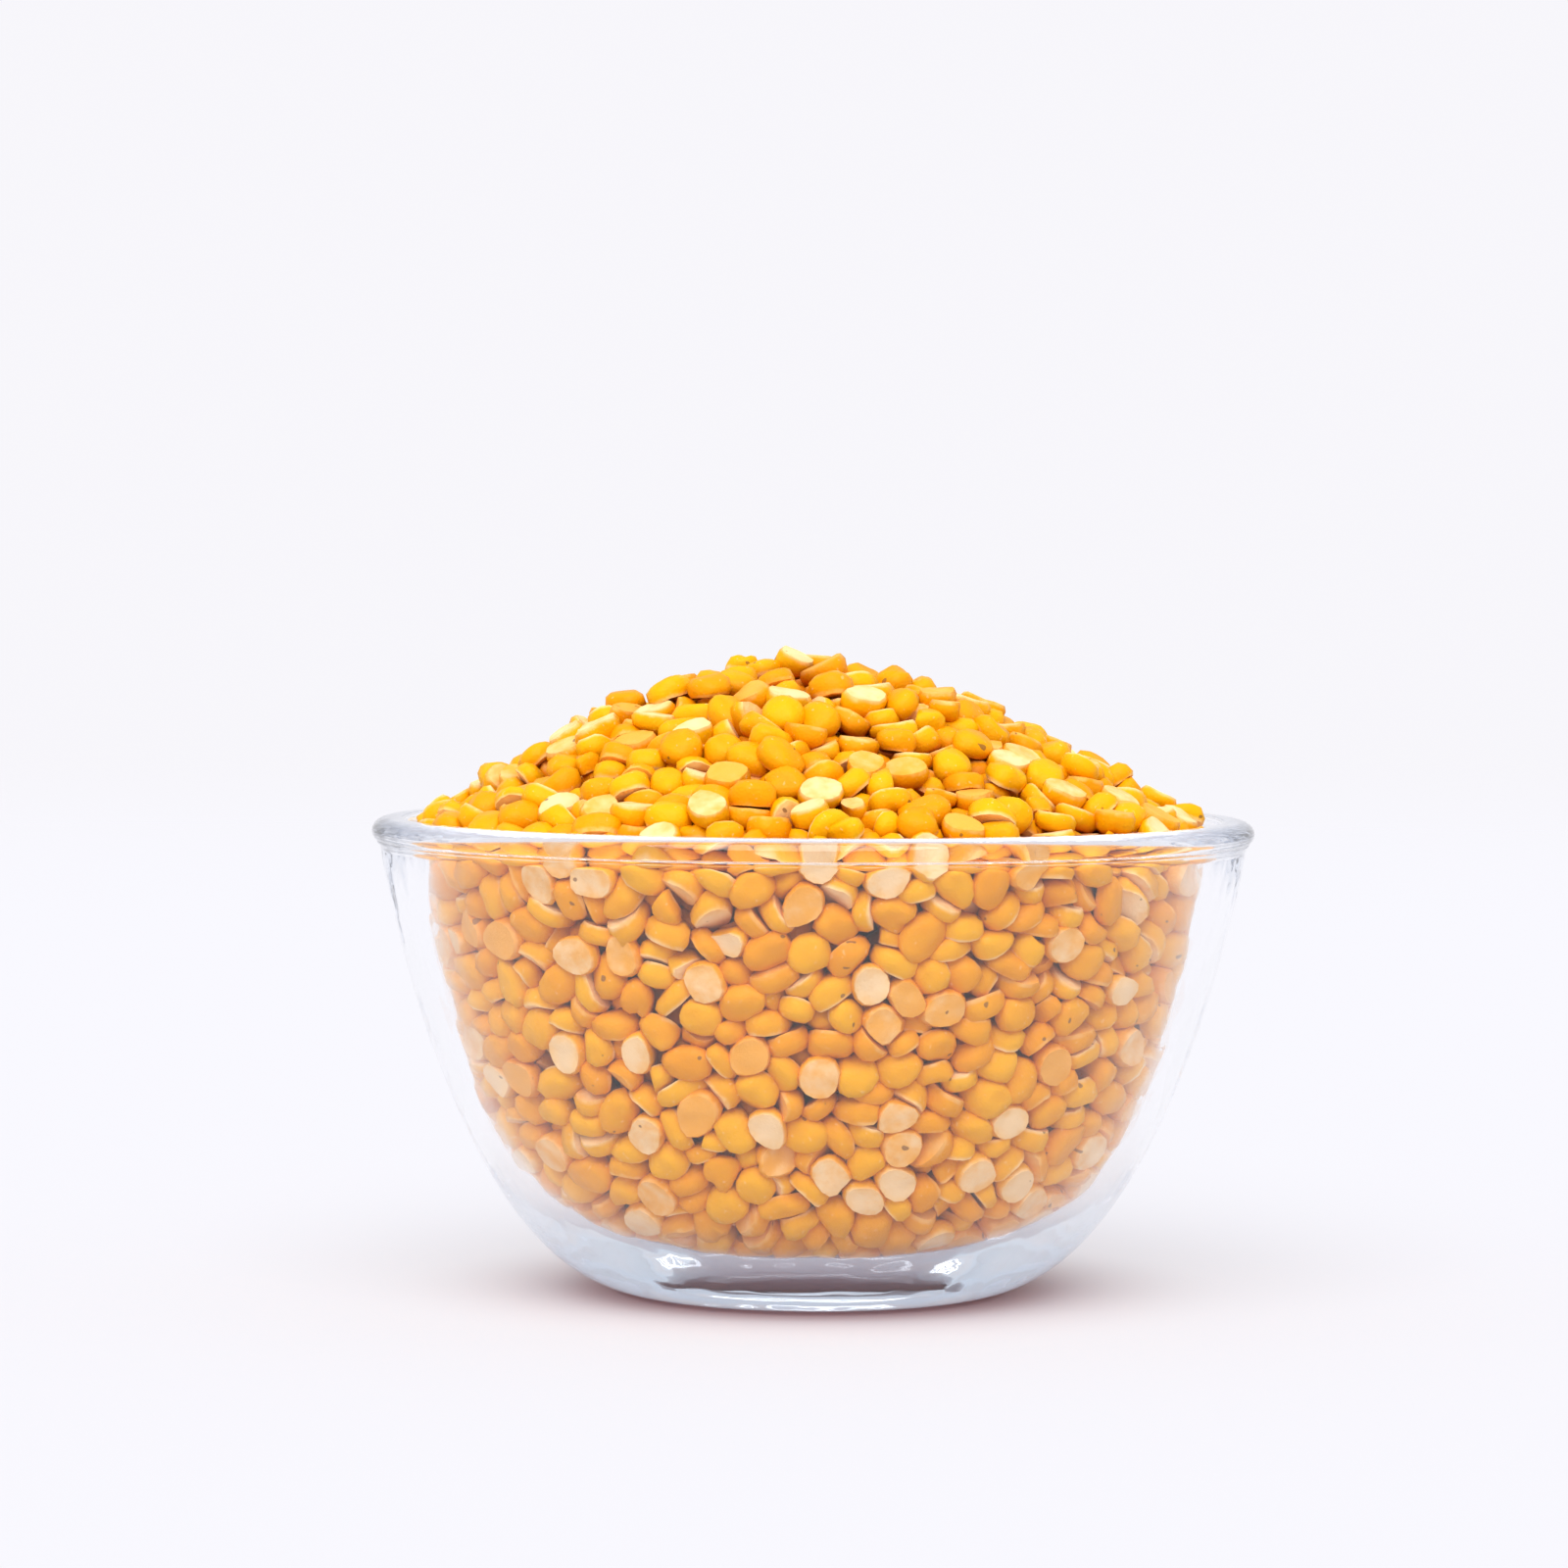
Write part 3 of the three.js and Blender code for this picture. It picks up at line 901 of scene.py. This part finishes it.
def coreMaterial(look):
    material, bench = newMaterial("shaded_chickpea")
    mottle = bench.noise(bench.objectPlace(), *look["mottle"])
    colour = bench.mixColour(bench.ramp(mottle, *look["mottleFade"]), look["dark"], look["light"])
    values = {"Base Color": colour, "Roughness": look["roughness"]}
    shell = bench.add("ShaderNodeBsdfPrincipled", None, values)
    bench.add("ShaderNodeOutputMaterial", None, {"Surface": shell})
    return material


# The halves' places, turns, sizes and kinds, before they are pushed into place
def drawHalves():
    places, ways, room = scatterPlaces()
    meanLength, meanHeight = np.mean(halves["length"]), np.mean(halves["thickness"])
    meanRoom = math.pi / 6 * meanLength * meanLength * halves["breadth"] * meanHeight
    count = int(room * halves["fill"] / meanRoom)
    chosen = random.choice(len(places), count, replace=False)
    names = list(kinds)
    shares = np.array([kinds[name]["share"] for name in names])
    kind = random.choice(len(names), count, p=shares / shares.sum())
    scale = np.array([kinds[name]["size"] for name in names])[kind]
    long = np.array([kinds[name]["long"] for name in names])[kind]
    middle = (random.random(count) + random.random(count)) / 2
    length = halves["length"][0] + (halves["length"][1] - halves["length"][0]) * middle
    breadth = length * halves["breadth"] * random.uniform(*halves["breadthSpread"], count)
    height = random.uniform(*halves["thickness"], count)
    size = np.stack([length / 2 * np.sqrt(long), breadth / 2 / np.sqrt(long), height], 1) * scale[:, None]
    turn = randomTurns(count, ways[chosen])
    return places[chosen], turn, size, kind


# Moves points that are in the glass, or too near it, back to the clearance, and notes how far down
# each point lies, in thicknesses of the thickest half, for the halves' painted shade
def keepOffGlass(mesh):
    flat = np.empty(len(mesh.vertices) * 3, np.float32)
    mesh.vertices.foreach_get("co", flat)
    place = flat.reshape(-1, 3) / mm
    depth, way = underGlass(place)
    short = np.maximum(0, halves["glassClearance"] - depth)
    place -= way * short[:, None]
    mesh.vertices.foreach_set("co", (place * mm).astype(np.float32).ravel())
    below = np.minimum(np.maximum(depth, 0), underMound(place)[0]) / halves["thickness"][1]
    mesh.attributes.new("depth", "FLOAT", "POINT").data.foreach_set("value", below)
    mesh.update()


def matrixFrom(rows):
    return Matrix([list(map(float, row)) for row in rows])


def makeHalves():
    place, turn, size, kind = drawHalves()
    place, turn = settle(place, turn, size)
    tone = random.random(len(place))
    material = halfMaterial(halfLook)
    tree = halvesTree()
    pieces = []
    for index, (name, facts) in enumerate(kinds.items()):
        forms = bpy.data.collections.new(name + "_forms")
        for number, shape in enumerate(formShapes[name]):
            halfForm(f"{name}_form_{number}", forms, **shape)
        mine = np.nonzero(kind == index)[0]
        piece = meshPiece(name, place[mine] * mm)
        spins = [matrixFrom(turn[i]).to_euler() for i in mine]
        attributes = piece.data.attributes
        attributes.new("turn", "FLOAT_VECTOR", "POINT").data.foreach_set("vector", np.array(spins).ravel())
        attributes.new("size", "FLOAT_VECTOR", "POINT").data.foreach_set("vector", (size[mine] * mm).ravel())
        picks = random.integers(0, len(formShapes[name]), len(mine))
        attributes.new("form", "INT", "POINT").data.foreach_set("value", picks)
        attributes.new("tone", "FLOAT", "POINT").data.foreach_set("value", tone[mine])
        settings = {
            "Forms": forms,
            "Unevenness": facts["unevenness"] * mm,
            "Dent size": halves["dentSize"] * mm,
            "Material": material,
        }
        bakeTree(piece, tree, settings)
        keepOffGlass(piece.data)
        for form in list(forms.objects):
            bpy.data.objects.remove(form)
        bpy.data.collections.remove(forms)
        pieces.append(piece)
        print(name + ":", len(mine), "halves,", len(piece.data.polygons), "faces")
    return pieces


core = makeCore()
core.data.materials.append(coreMaterial(coreShadeLook))
loose = makeHalves()
for piece in [core, *loose]:
    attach(piece, "root")
    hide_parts("chickpea_heap")
print("heap made")

# The room: a pale floor that runs out into an even pale backdrop, lit from all round and from above, and
# glowing with painted light away from the bowl
room = {
    "floorRadius": 2.6,
    "floorSides": 64,
    "fadeFrom": 0.7,
    "fadeTo": 2.3,
    "floorColour": (0.685, 0.665, 0.69),
    "floorPaintedLight": (0.93, 0.925, 0.96),        # painted light: the floor glows away from the bowl, which lifts its shade there
    "paintedLightShare": 0.6,
    "paintedLightFrom": 0.026,
    "paintedLightTo": 0.065,
    "backdrop": (0.935, 0.925, 0.965),  # as seen
    "surround": (0.78, 0.77, 0.80),     # as it lights
    "overhead": (0.64, 0.69, 0.77),
    "behindCamera": (0.60, 0.57, 0.62),
    "overheadFade": (0.15, 0.75),       # how far up, and how far towards the camera, they come in
    "behindFade": (-0.1, -0.9),
    "glassShare": 0.7,                  # of the seen backdrop in what shows in and through the glass
    "floorGap": 0.2 * mm,   # air under the bowl's flat underside
    "lampStrength": 3.0,
    "lampSpread": 60,       # degrees
    "lampFrom": (-0.1, -0.8, 1.1),
    "bounces": 128,         # of light in the glass, and through the clear shades
    "clearBounces": 24,
}


def makeFloor():
    turns = room["floorSides"]
    edge = [(math.cos(2 * math.pi * i / turns), math.sin(2 * math.pi * i / turns), 0) for i in range(turns)]
    under = (0, 0, room["floorGap"])
    piece = meshPiece("floor", np.array(edge) * room["floorRadius"] - under, (), [tuple(range(turns))])
    material, bench = newMaterial("pale_floor")
    place = bench.objectPlace()
    away = bench.add("ShaderNodeVectorMath", {"operation": "LENGTH"}, {0: place}, out="Value")
    matt = bench.add("ShaderNodeBsdfDiffuse", None, {"Color": (*room["floorColour"], 1.0)})
    clear = bench.add("ShaderNodeBsdfTransparent")
    # painted light: an emission that grows away from the bowl lifts the floor's shade there
    floorPaintedLight = bench.add("ShaderNodeEmission", None, {"Color": (*room["floorPaintedLight"], 1.0)})
    share = room["paintedLightShare"] * bench.ramp(away, room["paintedLightFrom"], room["paintedLightTo"])
    lit = bench.add("ShaderNodeMixShader", None, {0: share, 1: matt, 2: floorPaintedLight})
    fade = bench.ramp(away, room["fadeFrom"], room["fadeTo"])
    surface = bench.add("ShaderNodeMixShader", None, {0: fade, 1: lit, 2: clear})
    bench.add("ShaderNodeOutputMaterial", None, {"Surface": surface})
    piece.data.materials.append(material)


# The backdrop is even where it is seen. Where it only lights it is dimmer, most of all above and on
# the camera's side.
def makeBackdrop():
    world = bpy.data.worlds.new("backdrop")
    scene.world = world
    world.use_nodes = True
    world.node_tree.nodes.clear()
    bench = NodeBench(world.node_tree)
    way = bench.add("ShaderNodeTexCoord")
    front = bench.ramp(bench.add("ShaderNodeSeparateXYZ", None, {0: way}, out="Y"), *room["behindFade"])
    up = bench.ramp(bench.add("ShaderNodeSeparateXYZ", None, {0: way}, out="Z"), *room["overheadFade"])
    around = bench.mixColour(front, room["surround"], room["behindCamera"])
    around = bench.mixColour(up, around, room["overhead"])
    seen = bench.add("ShaderNodeLightPath", out="Is Camera Ray")
    viaGlass = bench.add("ShaderNodeLightPath", out="Is Singular Ray")
    bright = seen.sum("MAXIMUM", seen, room["glassShare"] * viaGlass)
    colour = bench.mixColour(bright, around, room["backdrop"])
    shade = bench.add("ShaderNodeBackground", None, {"Color": colour, "Strength": 1.0})
    bench.add("ShaderNodeOutputWorld", None, {"Surface": shade})


def makeLamp():
    lamp = bpy.data.objects.new("soft_lamp", bpy.data.lights.new("soft_lamp", "SUN"))
    scene.collection.objects.link(lamp)
    lamp.data.angle = math.radians(room["lampSpread"])
    lamp.data.energy = room["lampStrength"]
    lamp.rotation_euler = (-Vector(room["lampFrom"])).to_track_quat("-Z", "Y").to_euler()


makeFloor()
makeBackdrop()
makeLamp()
scene.view_settings.view_transform = "Standard"
scene.cycles.transparent_max_bounces = room["clearBounces"]
scene.cycles.transmission_bounces = room["bounces"]
scene.cycles.glossy_bounces = room["bounces"]
scene.cycles.max_bounces = room["bounces"]
print("room lit")
